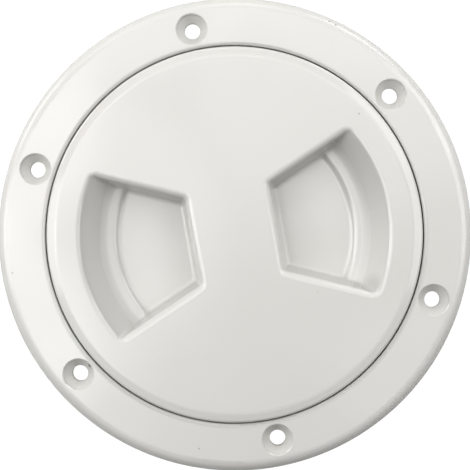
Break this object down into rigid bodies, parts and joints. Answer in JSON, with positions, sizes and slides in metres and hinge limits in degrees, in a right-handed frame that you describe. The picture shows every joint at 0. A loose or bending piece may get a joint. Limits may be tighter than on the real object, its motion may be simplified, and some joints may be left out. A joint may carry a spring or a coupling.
{
  "type": "deck inspection plate",
  "caption": "Round screw-in deck inspection plate: a countersunk flange with a threaded neck, a lid with finger wells and a seal ring under its rim.",
  "frame": {"origin": "centre of the flange's underside, on the axis of the screw circle, in the plane of the deck", "axes": "+Z out of the deck along the axis of the lid's thread; +X and +Y are right and up in a view from above, with the first screw hole at 41.84 degrees from +X"},
  "size_m": [0.143, 0.143, 0.023],
  "materials": {
    "ring_plastic": "gloss, moulded, slightly weathered white",
    "lid_plastic": "gloss, moulded, slightly weathered white",
    "seal_rubber": "matt black"
  },
  "bodies": {
    "ring": {"flange_ring": "ring_plastic"},
    "seal": {"lid_seal": "seal_rubber"},
    "lid": {"lid": "lid_plastic"}
  },
  "joints": [
    {"name": "lid_rise", "type": "slide", "parent": "ring", "child": "seal", "axis": [0, 0, 1], "range_m": [0, 0.021]},
    {"name": "lid_turn", "type": "hinge", "parent": "seal", "child": "lid", "pos_m": [0, 0, 0], "axis": [0, 0, 1], "range_deg": [0, 1260]}
  ],
  "couplings": [
    {"joint": "lid_rise", "follows": "lid_turn", "m_per_rad": 0.00095493}
  ]
}
